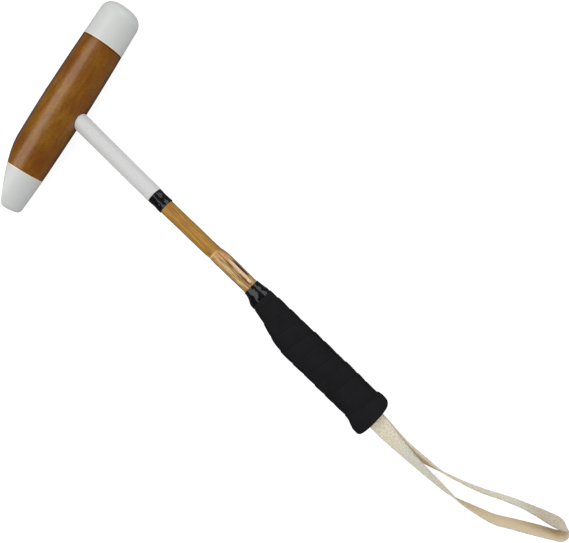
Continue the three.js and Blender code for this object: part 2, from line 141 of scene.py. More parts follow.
# (share round, along) at the corners of the faces, in the order of skinFaces
def skinUvs(along, columns):
    around = np.arange(columns + 1) / columns
    column = np.tile(np.arange(columns), len(along) - 1)
    row = np.repeat(np.arange(len(along) - 1), columns)
    quadUv = np.stack([joined(around[column + side], along[row + up])
                       for side, up in ((0, 0), (1, 0), (1, 1), (0, 1))], 1)
    j = np.arange(columns)
    fans = [np.stack([joined(around[j + side], level) for side in sides], 1)
            for level, sides in ((along[0], (1, 0, 0)), (along[-1], (0, 1, 0)))]
    return quadUv, np.vstack(fans)


# Sixth of the sum of a . (b x c) over every triangle
def enclosedVolume(vertices, quads, triangles):
    every = np.vstack([quads[:, :3], quads[:, [0, 2, 3]], triangles])
    a, b, c = (vertices[every[:, k]] for k in range(3))
    return np.einsum("ij,ij->i", a, np.cross(b, c)).sum() / 6


# An object with its data, in the scene
def addObject(name, data):
    obj = bpy.data.objects.new(name, data)
    bpy.context.scene.collection.objects.link(obj)
    return obj


# Closed mesh over a grid of points in the frame's metres, with a UV map of (share round, metres along)
def makeSkin(name, points, along, sharp=40):
    rows, columns = points.shape[:2]
    quads, triangles = skinFaces(rows, columns)
    quadUv, triangleUv = skinUvs(np.asarray(along, float) / metre, columns)
    poles = np.stack([points[0].mean(0), points[-1].mean(0)])
    vertices = np.vstack([points.reshape(-1, 3), poles])
    if enclosedVolume(vertices, quads, triangles) < 0:
        quads, quadUv = quads[:, ::-1], quadUv[:, ::-1]
        triangles, triangleUv = triangles[:, ::-1], triangleUv[:, ::-1]
    mesh = bpy.data.meshes.new(name)
    mesh.from_pydata(vertices.tolist(), [], quads.tolist() + triangles.tolist())
    layer = mesh.uv_layers.new(name="Surface")
    uvs = np.vstack([quadUv.reshape(-1, 2), triangleUv.reshape(-1, 2)])
    layer.data.foreach_set("uv", uvs.astype(np.float32).ravel())
    mesh.polygons.foreach_set("use_smooth", np.ones(len(mesh.polygons), bool))
    mesh.set_sharp_from_angle(angle=math.radians(sharp))
    mesh.update()
    return addObject(name, mesh)


# A named value for each vertex, row by row. What comes after gets 0
def addValues(obj, name, values):
    layer = obj.data.attributes.new(name, "FLOAT", "POINT")
    whole = np.zeros(len(obj.data.vertices), np.float32)
    whole[:values.size] = values.ravel()
    layer.data.foreach_set("value", whole)


# Material, slot and replaced node of a piece, and the body that it rides on
def finishPiece(obj, material, node, body="mallet"):
    obj.data.materials.append(material)
    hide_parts(node)
    if body:
        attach(obj, body)


# Shader building

# A node's outputs, from its settings and inputs. An input is named, or i and its number. A socket is linked
# to it, anything else is its constant, and a colour's alpha is 1
def addNode(tree, kind, settings=None, **inputs):
    made = tree.nodes.new("ShaderNode" + kind)
    for key, value in (settings or {}).items():
        setattr(made, key, value)
    for key, value in inputs.items():
        numbered = key[0] == "i" and key[1:].isdigit()
        target = made.inputs[int(key[1:]) if numbered else key]
        if isinstance(value, bpy.types.NodeSocket):
            tree.links.new(value, target)
        else:
            target.default_value = (*value, 1.0) if target.type == "RGBA" else value
    return made.outputs


def mathOf(tree, operation, *values, clamp=False):
    inputs = {f"i{k}": value for k, value in enumerate(values)}
    return addNode(tree, "Math", {"operation": operation, "use_clamp": clamp}, **inputs)[0]


def product(tree, first, second):
    return mathOf(tree, "MULTIPLY", first, second)


# Colour times a factor
def scaled(tree, tone, factor):
    return addNode(tree, "VectorMath", {"operation": "SCALE"}, i0=tone, Scale=factor)[0]


# Vector with each axis times its own factor
def stretched(tree, where, factors):
    return addNode(tree, "VectorMath", {"operation": "MULTIPLY"}, i0=where, i1=factors)[0]


# first + share (second - first), or the blend that is named
def mixColour(tree, share, first, second, blend="MIX"):
    settings = {"data_type": "RGBA", "blend_type": blend}
    return addNode(tree, "Mix", settings, i0=share, i6=first, i7=second)[2]


# From first at low to last at high, straight or smooth, and level past both
def ramp(tree, value, low, high, first=0.0, last=1.0, smooth=False):
    settings = {"interpolation_type": "SMOOTHSTEP" if smooth else "LINEAR"}
    return addNode(tree, "MapRange", settings, Value=value, i1=low, i2=high, i3=first, i4=last)[0]


# 1 where value lies from low to high, with a soft edge: a rise times a fall
def between(tree, value, low, high, edge):
    rise = ramp(tree, value, low - edge, low + edge, smooth=True)
    fall = ramp(tree, value, high - edge, high + edge, 1.0, 0.0, smooth=True)
    return product(tree, rise, fall)


def objectSpace(tree):
    return addNode(tree, "TexCoord")["Object"]


# Smooth random values about 0.5
def noiseOf(tree, where, scale, detail, roughness=0.5):
    return addNode(tree, "TexNoise", Vector=where, Scale=scale, Detail=detail, Roughness=roughness)[0]


# The ramp of a look over its noise, for patches
def patches(tree, where, look, name):
    return ramp(tree, noiseOf(tree, where, *look[name + "Noise"]), *look[name + "Ramp"])


# Painted shade at the outline: a tone times the look's ramp from where the surface faces the camera, 0, to
# its outline, 1
def paintedRimShade(tree, tone, look):
    facing = addNode(tree, "LayerWeight", Blend=0.5)["Facing"]
    return scaled(tree, tone, ramp(tree, facing, *look["rimShadeRamp"]))


# Share round the piece, and metres along it
def surfaceUv(tree):
    uv = addNode(tree, "UVMap", {"uv_map": "Surface"})[0]
    return addNode(tree, "SeparateXYZ", Vector=uv)[:2]


def readValues(tree, name):
    return addNode(tree, "Attribute", {"attribute_name": name})["Fac"]


# A node group with the inputs that are named, which puts out a colour and a height
def startGroup(name, **inputs):
    group = bpy.data.node_groups.new(name, "ShaderNodeTree")
    for way, sockets in (("INPUT", inputs), ("OUTPUT", {"Colour": "Color", "Height": "Float"})):
        for label, kind in sockets.items():
            group.interface.new_socket(label, in_out=way, socket_type="NodeSocket" + kind)
    return group, group.nodes.new("NodeGroupInput").outputs, group.nodes.new("NodeGroupOutput").inputs


def useGroup(tree, group, **inputs):
    return addNode(tree, "Group", {"node_tree": group}, **inputs)


# (scale, detail, roughness) of the fibres' bands and streaks, and (detail, roughness) of the grain
noises = {"bands": (0.35, 3.0, 0.5), "streaks": (2.2, 5.0, 0.6), "grain": (3.0, 0.6)}


# Colour of long wood fibres. The share of light is 2 (bands + streak streaks - streak / 2 - 1 / 4)
def makeFibresGroup():
    group, given, out = startGroup("Fibres", Turn="Vector", Stretch="Vector", Dark="Color", Light="Color",
                                   Streak="Float")
    turned = addNode(group, "Mapping", Vector=objectSpace(group), Rotation=given["Turn"])[0]
    spread = stretched(group, turned, given["Stretch"])
    bands = noiseOf(group, spread, *noises["bands"])
    streaks = noiseOf(group, spread, *noises["streaks"])
    both = mathOf(group, "MULTIPLY_ADD", streaks, given["Streak"], bands)
    low = mathOf(group, "MULTIPLY_ADD", given["Streak"], 0.5, 0.25)
    share = mathOf(group, "MULTIPLY", mathOf(group, "SUBTRACT", both, low), 2.0, clamp=True)
    group.links.new(mixColour(group, share, given["Dark"], given["Light"]), out["Colour"])
    group.links.new(streaks, out["Height"])
    return group


# Height and shade of a fine random grain: colour (1 + depth (grain - 0.5))
def makeSpeckleGroup():
    group, given, out = startGroup("Speckle", Scale="Float", Colour="Color", Depth="Float")
    grain = noiseOf(group, objectSpace(group), given["Scale"], *noises["grain"])
    lift = product(group, mathOf(group, "SUBTRACT", grain, 0.5), given["Depth"])
    tone = scaled(group, given["Colour"], mathOf(group, "ADD", lift, 1.0))
    group.links.new(tone, out["Colour"])
    group.links.new(grain, out["Height"])
    return group


fibres = makeFibresGroup()
speckle = makeSpeckleGroup()


def startMaterial(name):
    material = bpy.data.materials.new(name)
    material.use_nodes = True
    material.node_tree.nodes.clear()
    return material, material.node_tree


# The surface's shader. A look holds its other inputs as finish, and a bump or none
def endMaterial(material, base, look, height):
    tree = material.node_tree
    inputs = {"Base Color": base, **look["finish"]}
    if "bump" in look:
        distance, strength = look["bump"]
        inputs["Normal"] = addNode(tree, "Bump", Height=height, Distance=distance, Strength=strength)[0]
    addNode(tree, "OutputMaterial", i0=addNode(tree, "BsdfPrincipled", **inputs)[0])
    return material


# One group's colour and height, and no more
def makePlain(name, group, look):
    material, tree = startMaterial(name)
    grain = useGroup(tree, group, **look["grain"])
    return endMaterial(material, grain["Colour"], look, grain["Height"])


# Head

# shares are (share of the way from the heel's round to the toe's, radius as a share of the largest)
head = {
    "length": 234.0, "radius": 22.8, "toe": 116.2, "toeRound": 12.5, "heelRound": 4.5,
    "cutLength": 64.6, "cutAngle": math.radians(24.6), "cutBlend": 4.0, "toeCoat": 42.3,
    "heelCoat": 39.5, "coatLift": 0.12, "underCoat": 0.5, "lip": 1.0, "blur": 9.0, "blurPoints": 13,
    "step": 1.5, "columns": 144, "roundRings": 14, "toeRings": 7, "heelRings": 13, "innermost": 0.2,
    "shares": [
        (0, 0.862), (0.032, 0.882), (0.106, 0.919), (0.142, 0.936), (0.188, 0.957), (0.257, 0.97),
        (0.349, 0.984), (0.445, 1), (0.569, 1), (0.651, 0.989), (0.745, 0.974), (0.839, 0.95),
        (0.931, 0.921), (1, 0.905),
    ],
}
heelEnd = head["toe"] - head["length"]


# Radius of the turned head: the table, rounded off by an average over a few millimetres
def headRadiusAt(along):
    low, high = heelEnd + head["heelRound"], head["toe"] - head["toeRound"]
    keys, shares = zip(*head["shares"])
    spread = np.asarray(along)[..., None] + np.linspace(-head["blur"], head["blur"], head["blurPoints"])
    return head["radius"] * np.interp((spread - low) / (high - low), keys, shares).mean(-1)


# (along, radius) over an end's round and flat: (start + way (r + lift) sin a, edge - r (1 - cos a))
def endRound(start, way, turn, lift, rings):
    angle = np.linspace(0, math.pi / 2, head["roundRings"] + 1)[1:]
    edge = float(headRadiusAt(start)) + lift
    arc = joined(start + way * (turn + lift) * np.sin(angle), edge - turn * (1 - np.cos(angle)))
    inner = np.linspace(arc[-1, 1], head["innermost"], rings + 1)[1:]
    return np.vstack([arc, joined(arc[-1, 0], inner)])


# (along, radius) of the turned outline from low to high, with the round at an end that it takes in
def headOutline(low, high, lift):
    first, last = max(low, heelEnd + head["heelRound"]), min(high, head["toe"] - head["toeRound"])
    middle = np.linspace(first, last, max(int((last - first) / head["step"]), fewestRings))
    outline = [joined(middle, headRadiusAt(middle) + lift)]
    if high >= head["toe"]:
        outline.append(endRound(last, 1, head["toeRound"], lift, head["toeRings"]))
    if low <= heelEnd:
        outline.insert(0, endRound(first, -1, head["heelRound"], lift, head["heelRings"])[::-1])
    return np.vstack(outline)


# The slanting cut under the heel, with a soft edge: p - n softExcess(n . p - n . start)
def planeHeel(across, along, lift):
    start = heelEnd + head["cutLength"]
    normal = (-math.cos(head["cutAngle"]), -math.sin(head["cutAngle"]))
    edge = normal[0] * -float(headRadiusAt(start)) + normal[1] * start
    past = softExcess(normal[0] * across + normal[1] * along - edge - lift, head["cutBlend"])
    return across - normal[0] * past, along - normal[1] * past


# The outline turned about the head's axis, (r cos a, along, r sin a), with the cut
def headSkin(name, low, high, lift=0.0):
    outline = headOutline(low, high, lift)
    angle = anglesRound(head["columns"])
    along, radius = outline[:, :1], outline[:, 1:]
    across, along = planeHeel(radius * np.cos(angle), along, lift)
    return makeSkin(name, place(fromHead(across, along, radius * np.sin(angle))), outline[:, 0])


stain = {
    "fibres": {"Turn": (0.0, 0.0, -mallet["lean"]), "Stretch": (900.0, 190.0, 900.0),
               "Dark": (0.165, 0.054, 0.0003), "Light": (0.275, 0.11, 0.0005), "Streak": 0.9},
    "pores": {"Scale": 650.0, "Depth": 0.9},
    "red": (0.175, 0.046, 0.0008), "redNoise": (22.0, 2.0), "redRamp": (0.42, 0.66, 0.0, 0.85),
    "rimShadeRamp": (0.5, 0.9, 1.0, 0.12), "pooled": (0.03, 0.01, 0.0005),
    "pooledSpan": (-0.0014, 0.001, 0.0004), "pooledShare": 0.7,
    "caneShadowRamp": (0.0091, 0.0107, 0.1, 1.0), "bare": (0.84, 0.7, 0.5), "bareEdge": 0.0002,
    "finish": {"Roughness": 0.34, "Specular IOR Level": 0.6, "Specular Tint": (1.0, 0.75, 0.5),
               "Coat Weight": 0.68, "Coat Roughness": 0.25},
    "bump": (0.00002, 0.3),
}


# Fibres, redder in blotches, with painted shade towards the outline, a dark line beside the toe coat, a
# ring of painted contact shadow round the cane and bare wood beside both coats
def makeStainedWood():
    material, tree = startMaterial("stainedWood")
    _, along = surfaceUv(tree)
    where = objectSpace(tree)
    grain = useGroup(tree, fibres, **stain["fibres"])
    warmed = mixColour(tree, patches(tree, where, stain, "red"), grain["Colour"], stain["red"])
    pores = useGroup(tree, speckle, Colour=warmed, **stain["pores"])
    # Painted shade: the wood's colour darkens towards its outline
    toned = paintedRimShade(tree, pores["Colour"], stain)
    low = (heelEnd + head["heelCoat"] + head["lip"]) / metre
    high = (head["toe"] - head["toeCoat"] - head["lip"]) / metre
    before, past, edge = stain["pooledSpan"]
    pooled = between(tree, along, high + before, high + past, edge)
    edged = mixColour(tree, product(tree, pooled, stain["pooledShare"]), toned, stain["pooled"])
    crossing = tuple(-value / metre for value in mallet["crossing"])
    moved = addNode(tree, "VectorMath", {"operation": "ADD"}, i0=where, i1=crossing)[0]
    aside = stretched(tree, moved, (0.0, 1.0, 1.0))
    fromCane = addNode(tree, "VectorMath", {"operation": "LENGTH"}, i0=aside)["Value"]
    # Painted contact shadow: the colour goes dark in a ring close round the cane, where it enters the head
    caneShadowed = scaled(tree, edged, ramp(tree, fromCane, *stain["caneShadowRamp"]))
    stained = between(tree, along, low, high, stain["bareEdge"])
    return endMaterial(material, mixColour(tree, stained, stain["bare"], caneShadowed), stain, grain["Height"])


coat = {
    "grain": {"Scale": 130.0, "Colour": (0.59, 0.602, 0.592), "Depth": 0.07},
    "finish": {"Roughness": 0.32},
    "bump": (0.0001, 0.25),
}


# The turned wood between the coats, and a coat over each end
def makeHead():
    toeEdge, heelEdge = head["toe"] - head["toeCoat"], heelEnd + head["heelCoat"]
    barrel = headSkin("headBarrel", heelEdge - head["underCoat"], toeEdge + head["underCoat"])
    finishPiece(barrel, makeStainedWood(), "head_barrel")
    whiteCoat = makePlain("whiteCoat", speckle, coat)
    for name, node, low, high in (
        ("toeCoat", "toe_coat", toeEdge, head["toe"]), ("heelCoat", "heel_coat", heelEnd, heelEdge),
    ):
        finishPiece(headSkin(name, low, high, head["coatLift"]), whiteCoat, node)
    print("head made")


# Cane

# rings are (from, to, how many), ridges are (offset from the node, height, width), and bud is its share of
# the way round
cane = {
    "lowerRadius": 7.9, "upperRadius": 8.65, "handleRadius": 8.4, "bow": 0.5, "node": 217.0,
    "nodeRise": 12.0, "nodeWaist": 0.15, "crook": 1.3, "crookRun": 36.0, "columns": 96,
    "rings": [(-20, 120, 12), (124, 204, 50), (205, 229, 60), (230, 290, 40), (300, 397.5, 6)],
    "footRings": 7, "footInner": 0.1, "footAlong": -25.0, "footLift": 0.12, "flute": 0.1,
    "fluteFrom": (130, 160),
    "fluteNoise": {"seed": 5, "reach": 3},
    "ridges": [(0.0, 0.14, 1.0), (-2.2, -0.16, 0.9), (3.4, 0.07, 1.2)],
    "ridgeSlant": 0.8, "ridgeTurn": 0.6, "bud": 0.1, "budTurn": 0.22, "budStation": 243.0,
    "budRun": 9.0, "budDepth": 0.5,
}
tape = {
    "whiteStart": 16.0, "whiteEnd": 129.0, "whiteWall": 0.9, "whiteStep": 1.2, "whiteUneven": 0.07,
    "whiteNoise": {"columns": 96, "seed": 11, "reach": 4},
    "band": 17.0, "bandSpace": 0.1, "gap": 0.2, "wall": 0.4, "columns": 128, "bandStep": 0.5,
    "bandFlats": 0.4, "bandNet": {"down": 6, "across": 26, "seed": 25},
    "neckInset": 0.15, "neckRings": 44, "neckFlats": 0.54, "neckRise": (-2, 3), "neckUnder": 1.5,
    "neckDrawn": 0.9, "neckNet": {"down": 4, "across": 14, "seed": 30},
    "edge": 0.35, "edgePoints": 5, "skirt": 0.6,
}


# Bare radius, thicker past the node, scraped down to the handle, with a bell-shaped waist before the node
def caneRadiusAt(station):
    foot = cane["node"] - cane["nodeRise"] / 3
    crookEnd = cane["node"] + cane["crookRun"] / 2
    upper = smoothRise(station, foot, foot + cane["nodeRise"]) * (cane["upperRadius"] - cane["lowerRadius"])
    scraped = smoothRise(station, crookEnd, neckTop) * (cane["handleRadius"] - cane["upperRadius"])
    waist = cane["nodeWaist"] * np.exp(-(((station - foot) / (cane["nodeRise"] / 2)) ** 2))
    return cane["lowerRadius"] + upper + scraped - waist


# The cane's middle to the toe side: a slight bow to the heel side at the band, then a kink to the toe
# side at its node, until the handle
def crookAt(station):
    half = cane["crookRun"] / 2
    bandEnd = tape["whiteEnd"] + tape["band"]
    bow = smoothRise(station, 0, tape["whiteEnd"]) - smoothRise(station, bandEnd, cane["node"] - half)
    away = smoothRise(station, cane["node"] - half, cane["node"] + half)
    back = smoothRise(station, neckTop, neckTop + 2 * mallet["neckLength"])
    return cane["crook"] * (away - back) - cane["bow"] * bow


# Circles of a radius, or of a radius for each angle, round the cane's own line
def ringsAlong(station, radius, columns):
    angle = anglesRound(columns)
    station = np.asarray(station)[:, None]
    return joined(station, crookAt(station) + radius * np.cos(angle), radius * np.sin(angle))


# A slanting leaf scar at the node: a ridge, a groove and a ring, height exp(-((at - offset) / width)^2)
def nodeRidge(station, angle):
    at = station - cane["node"] - cane["ridgeSlant"] * np.cos(angle - cane["ridgeTurn"])
    return sum(height * np.exp(-(((at - offset) / width) ** 2)) for offset, height, width in cane["ridges"])


# The hollow that a side shoot left past the node: a long bell shape, -depth exp(-u^2 - v^2)
def budHollow(station, angle):
    u = (angle - 2 * math.pi * cane["bud"]) / cane["budTurn"]
    v = (station - cane["budStation"]) / cane["budRun"]
    return -cane["budDepth"] * np.exp(-(u**2) - v**2)


# Spans run from the node. marks are (round, half width, along, half length, share, colour) from the bud,
# for its pale lining, its dark hollow and a glint, which is a painted highlight
bamboo = {
    "lower": {"Stretch": (26.0, 420.0, 420.0), "Dark": (0.22, 0.078, 0.006),
              "Light": (0.56, 0.315, 0.055), "Streak": 0.9},
    "upper": {"Stretch": (34.0, 480.0, 480.0), "Dark": (0.15, 0.066, 0.014),
              "Light": (0.74, 0.5, 0.21), "Streak": 1.5},
    "upperSpan": (-0.001, 1.0, 0.0012), "crack": (0.12, 0.042, 0.004),
    "crackStretch": (45.0, 320.0, 320.0), "crackNoise": (1.9, 1.0),
    "crackRamp": (0.66, 0.74, 0.0, 0.6), "highlightBands": 8, "highlightBandStart": 0.2, "highlightBandDepth": 0.12,
    "toeShadeRamp": (0.45, 0.75, 1.0, 0.82), "blush": (0.5, 0.2, 0.09),
    "blushSpan": (-0.002, 0.009, 0.004), "blushNoise": (170.0, 2.0),
    "blushRamp": (0.4, 0.62, 0.1, 0.75), "groove": (0.75, 0.52, 0.26),
    "grooveSpan": (-0.0034, -0.0014, 0.0009), "grooveRamp": (0.14, 0.3, 0.0, 0.75),
    "marks": [(0.066, 0.034, 0.0, 0.014, 0.85, (0.72, 0.51, 0.39)),
              (0.0, 0.036, 0.001, 0.0125, 0.96, (0.045, 0.02, 0.018)),
              # The last mark is a painted highlight, a small glint past the hollow
              (0.085, 0.022, 0.0155, 0.003, 0.8, (0.78, 0.6, 0.4))],
    "markRamp": (0.5, 1.3, 1.0, 0.0), "rimShadeRamp": (0.4, 0.8, 1.0, 0.45),
    "finish": {"Roughness": 0.34, "Specular IOR Level": 0.25, "Coat Weight": 0.05, "Coat Roughness": 0.2},
    "bump": (0.00006, 0.5),
}


# 1 over a span that is given from the node
def nearNode(tree, along, span):
    node = cane["node"] / metre
    return between(tree, along, node + span[0], node + span[1], span[2])


# 1 inside a lens on the surface, (around / wide)^2 + (along / long)^2 < 1, with a soft edge
def lens(tree, around, along, middle, wide, station, long):
    u = product(tree, mathOf(tree, "SUBTRACT", around, middle), 1 / wide)
    v = product(tree, mathOf(tree, "SUBTRACT", along, station), 1 / long)
    reach = mathOf(tree, "ADD", product(tree, u, u), product(tree, v, v))
    return ramp(tree, reach, *bamboo["markRamp"], smooth=True)


# Fibres of two tones that meet at the node, with cracks, bands 1 + depth cos(bands turn) of painted
# highlight and shade, painted shade on the toe side and at the outline, a blush, a groove and the bud's
# marks
def makeBamboo():
    material, tree = startMaterial("bamboo")
    around, along = surfaceUv(tree)
    where = objectSpace(tree)
    lower = useGroup(tree, fibres, **bamboo["lower"])
    upper = useGroup(tree, fibres, **bamboo["upper"])
    past = nearNode(tree, along, bamboo["upperSpan"])
    body = mixColour(tree, past, lower["Colour"], upper["Colour"])
    cracks = patches(tree, stretched(tree, where, bamboo["crackStretch"]), bamboo, "crack")
    streaked = mixColour(tree, cracks, body, bamboo["crack"])
    # Painted highlight and shade: light and dark bands round the cane where the lamps' highlights fall, and
    # painted shade on its toe side
    fromStart = mathOf(tree, "SUBTRACT", around, bamboo["highlightBandStart"])
    turned = product(tree, fromStart, 2 * math.pi * bamboo["highlightBands"])
    highlightBand = product(tree, mathOf(tree, "COSINE", turned), bamboo["highlightBandDepth"])
    toeward = mathOf(tree, "COSINE", product(tree, around, 2 * math.pi))
    paintedToeShade = ramp(tree, toeward, *bamboo["toeShadeRamp"])
    highlightedAndShaded = scaled(tree, streaked, product(tree, mathOf(tree, "ADD", highlightBand, 1.0), paintedToeShade))
    blush = product(tree, nearNode(tree, along, bamboo["blushSpan"]), patches(tree, where, bamboo, "blush"))
    blushed = mixColour(tree, blush, highlightedAndShaded, bamboo["blush"])
    heelward = ramp(tree, around, *bamboo["grooveRamp"])
    groove = product(tree, nearNode(tree, along, bamboo["grooveSpan"]), heelward)
    skin = mixColour(tree, groove, blushed, bamboo["groove"])
    for aside, wide, onward, long, share, tone in bamboo["marks"]:
        station = cane["budStation"] / metre + onward
        mark = lens(tree, around, along, cane["bud"] + aside, wide, station, long)
        skin = mixColour(tree, product(tree, mark, share), skin, tone)
    # Painted shade towards the outline
    return endMaterial(material, paintedRimShade(tree, skin, bamboo), bamboo, upper["Height"])


# Where a line along the cane leaves the head's round underside: (x cos L + y sin L)^2 + z^2 = R^2
def soleStation(y, z, lift):
    lean = mallet["lean"]
    radius = head["radius"] + lift
    return (-np.sqrt(radius**2 - z**2) - y * math.sin(lean)) / math.cos(lean)


# The stem from the sole to inside the handle. Its foot is cut to the head's round surface
def makeCane():
    columns = cane["columns"]
    angle = anglesRound(columns)
    station = np.concatenate([np.linspace(*span) for span in cane["rings"]])
    flutes = cane["flute"] * softNoise(len(station), columns, **cane["fluteNoise"])
    flutes = flutes * smoothRise(station, *cane["fluteFrom"])[:, None]
    radius = caneRadiusAt(station)[:, None] + flutes + nodeRidge(station[:, None], angle)
    radius = radius + budHollow(station[:, None], angle)
    stem = ringsAlong(station, radius, columns)
    shrink = np.linspace(cane["footInner"], 1, cane["footRings"])[:, None]
    y, z = (shrink * cane["lowerRadius"] * turn(angle) for turn in (np.cos, np.sin))
    foot = joined(soleStation(y, z, cane["footLift"]), y, z)
    along = np.concatenate([np.full(cane["footRings"], cane["footAlong"]), station])
    obj = makeSkin("caneShaft", place(np.vstack([foot, stem])), along)
    finishPiece(obj, makeBamboo(), "cane_shaft")


wedge = {
    "head": 2.4, "tip": 0.6, "length": 24.0, "halfWidth": 8.0, "lift": 0.2,
    "look": {
        "grain": {"Stretch": (60.0, 900.0, 900.0), "Dark": (0.1, 0.04, 0.014),
                  "Light": (0.24, 0.11, 0.045), "Streak": 0.5},
        "finish": {"Roughness": 0.55},
    },
}


# A thin wedge across the cane's foot: rings of a slim box that thins away from the sole
def makeWedge():
    corners = np.array([(-1, -1), (0, -1), (1, -1), (1, 1), (0, 1), (-1, 1)], float)
    start = -head["radius"] / math.cos(mallet["lean"])
    shares = np.array([0.0, 0.5, 1.0])
    rings = []
    for share in shares:
        half = (wedge["head"] + (wedge["tip"] - wedge["head"]) * share) / 2
        y, z = corners[:, 1] * half, corners[:, 0] * wedge["halfWidth"]
        x = soleStation(y, z, wedge["lift"]) if share == 0 else start + wedge["length"] * share
        rings.append(joined(x, y, z))
    obj = makeSkin("footWedge", place(np.array(rings)), wedge["length"] * shares, sharp=20)
    finishPiece(obj, makePlain("wedgeWood", fibres, wedge["look"]), "cane_foot_wedge")


# Tapes on the cane

# Outside of a tape round the cane
def sleeveRadius(station, wall):
    return caneRadiusAt(station) + tape["gap"] + wall


# (station, radius) over a sleeve, with a quarter circle and a skirt down to the cane at both of its ends
def tapeProfile(low, high, wall, step):
    edge = tape["edge"]
    inner = np.linspace(low + edge, high - edge, max(int((high - low) / step), fewestRings))
    angle = np.linspace(math.pi / 2, 0, tape["edgePoints"])[1:]
    out, drop = edge * np.cos(angle), edge * (1 - np.sin(angle))
    first, last = sleeveRadius(low + edge, wall), sleeveRadius(high - edge, wall)
    starts = joined(low + edge - out, first - drop)
    ends = joined(high - edge + out, last - drop)
    body = joined(inner, sleeveRadius(inner, wall))
    skirt = edge + tape["skirt"]
    return np.vstack([[[low, first - skirt]], starts[::-1], body, ends, [[high, last - skirt]]])


# A sleeve of tape with uneven heights over its profile
def makeSleeve(name, profile, uneven, material, node):
    points = ringsAlong(profile[:, 0], profile[:, 1:2] + uneven, uneven.shape[1])
    obj = makeSkin(name, place(points), profile[:, 0], sharp=80)
    finishPiece(obj, material, node)


cloth = {
    "grain": {"Scale": 520.0, "Colour": (0.6, 0.602, 0.598), "Depth": 0.22},
    "seam": (0.36, 0.36, 0.36), "seamSpan": (0.105, 0.112, 0.004), "seamShare": 0.35,
    "finish": {"Roughness": 0.62},
    "bump": (0.00012, 0.6),
}


# Plain cloth with a seam along it at a share of the way round
def makeWhiteCloth():
    material, tree = startMaterial("whiteCloth")
    around, _ = surfaceUv(tree)
    grain = useGroup(tree, speckle, **cloth["grain"])
    seam = between(tree, around, *cloth["seamSpan"])
    tone = mixColour(tree, product(tree, seam, cloth["seamShare"]), grain["Colour"], cloth["seam"])
    return endMaterial(material, tone, cloth, mathOf(tree, "SUBTRACT", grain["Height"], seam))


# The cloth sleeve, from inside the head, a little uneven where it laps
def makeWhiteWrap():
    profile = tapeProfile(tape["whiteStart"], tape["whiteEnd"], tape["whiteWall"], tape["whiteStep"])
    uneven = tape["whiteUneven"] * softNoise(len(profile), **tape["whiteNoise"])
    makeSleeve("whiteWrap", profile, uneven, makeWhiteCloth(), "white_cloth_wrap")


gloss = {
    "grain": {"Scale": 420.0, "Colour": (0.0045, 0.0048, 0.0064), "Depth": 0.4},
    "finish": {"Roughness": 0.13},
    "bump": (0.0001, 0.25),
}


# Uneven flats in stretched tape: random heights on a coarse net, joined by straight lines both ways
def facets(rows, columns, down, across, seed):
    rng = np.random.default_rng(seed)
    net = rng.uniform(-1, 1, (down + 1, across))
    net = np.hstack([net, net[:, :1]])
    v, u = np.linspace(0, down, rows), np.arange(columns) / columns * across
    i, j = np.minimum(v.astype(int), down - 1), u.astype(int)
    dv, du = (v - i)[:, None], (u - j)[None, :]
    low = net[i][:, j] * (1 - du) + net[i][:, j + 1] * du
    high = net[i + 1][:, j] * (1 - du) + net[i + 1][:, j + 1] * du
    return low * (1 - dv) + high * dv


# The band over the end of the cloth: a thin sleeve with flats
def makeBand(glossTape):
    bandEnd = tape["whiteEnd"] + tape["band"]
    profile = tapeProfile(tape["whiteEnd"] + tape["bandSpace"], bandEnd, tape["wall"], tape["bandStep"])
    uneven = tape["bandFlats"] * facets(len(profile), tape["columns"], **tape["bandNet"])
    makeSleeve("blackBand", profile, uneven, glossTape, "black_band")


# Handle

# shares are (share of the way from neck to butt, toe side, heel side, half depth). laps are where the
# tape's edge crosses the heel side and the toe side in turn. lapChange is (mean, swing, pace, start),
# calm is (from, to, share) and lipRings are (share of the butt, way in)
grip = {
    "width": 40.0, "depth": 32.0, "squareness": 2.3, "blur": 3.0, "rimToe": 4.8, "rimHeel": 2.0,
    "blurPoints": 7, "columns": 144, "step": 0.5, "lap": 0.75, "lapChange": (0.75, 0.35, 2.1, 0.7),
    "lapStep": 0.05, "lapTaper": 0.8, "lapSwell": 0.35, "calm": (432, 447, 0.75), "topRise": (-0.2, 0.6),
    "creaseAt": 0.97, "creaseWidth": 0.05,
    "shares": [
        (0, 0.268, 0.205, 0.3), (0.03, 0.273, 0.212, 0.305), (0.06, 0.303, 0.309, 0.355),
        (0.089, 0.31, 0.312, 0.362), (0.118, 0.314, 0.314, 0.372), (0.146, 0.317, 0.343, 0.392),
        (0.2, 0.323, 0.41, 0.424), (0.256, 0.328, 0.494, 0.455), (0.311, 0.334, 0.566, 0.478),
        (0.366, 0.339, 0.608, 0.492), (0.45, 0.345, 0.617, 0.5), (0.588, 0.354, 0.613, 0.5),
        (0.755, 0.361, 0.612, 0.5), (0.894, 0.363, 0.618, 0.502), (0.908, 0.366, 0.628, 0.51),
        (0.937, 0.404, 0.71, 0.557), (0.949, 0.412, 0.728, 0.568), (0.978, 0.41, 0.741, 0.584),
        (1, 0.409, 0.743, 0.59),
    ],
    "laps": [
        284.0, 291.5, 299.9, 308.6, 314.8, 325.0, 331.3, 342.5, 349.0, 356.0, 365.0, 374.7, 380.6, 386.4,
        395.0, 403.6, 409.0, 415.6, 424.0, 431.7, 438.5, 446.5, 455.0,
    ],
    "lipRings": [
        (1.0, 0.0), (0.965, 0.0), (0.93, 0.0), (0.895, 0.0), (0.88, 0.3), (0.875, 1.0), (0.875, 4.5),
    ],
}


# Middle, half width and half depth of the handle's oval: the table, rounded off by an average over a few
# millimetres
def handleEdges(station):
    table = np.array(grip["shares"])
    steps = np.linspace(-grip["blur"], grip["blur"], grip["blurPoints"])
    length = mallet["butt"] - neckTop
    share = (np.asarray(station, float)[..., None] + steps - neckTop) / length
    toe, heel, depth = (np.interp(share, table[:, 0], table[:, k]).mean(-1) for k in (1, 2, 3))
    return grip["width"] * (toe - heel) / 2, grip["width"] * (toe + heel) / 2, grip["depth"] * depth


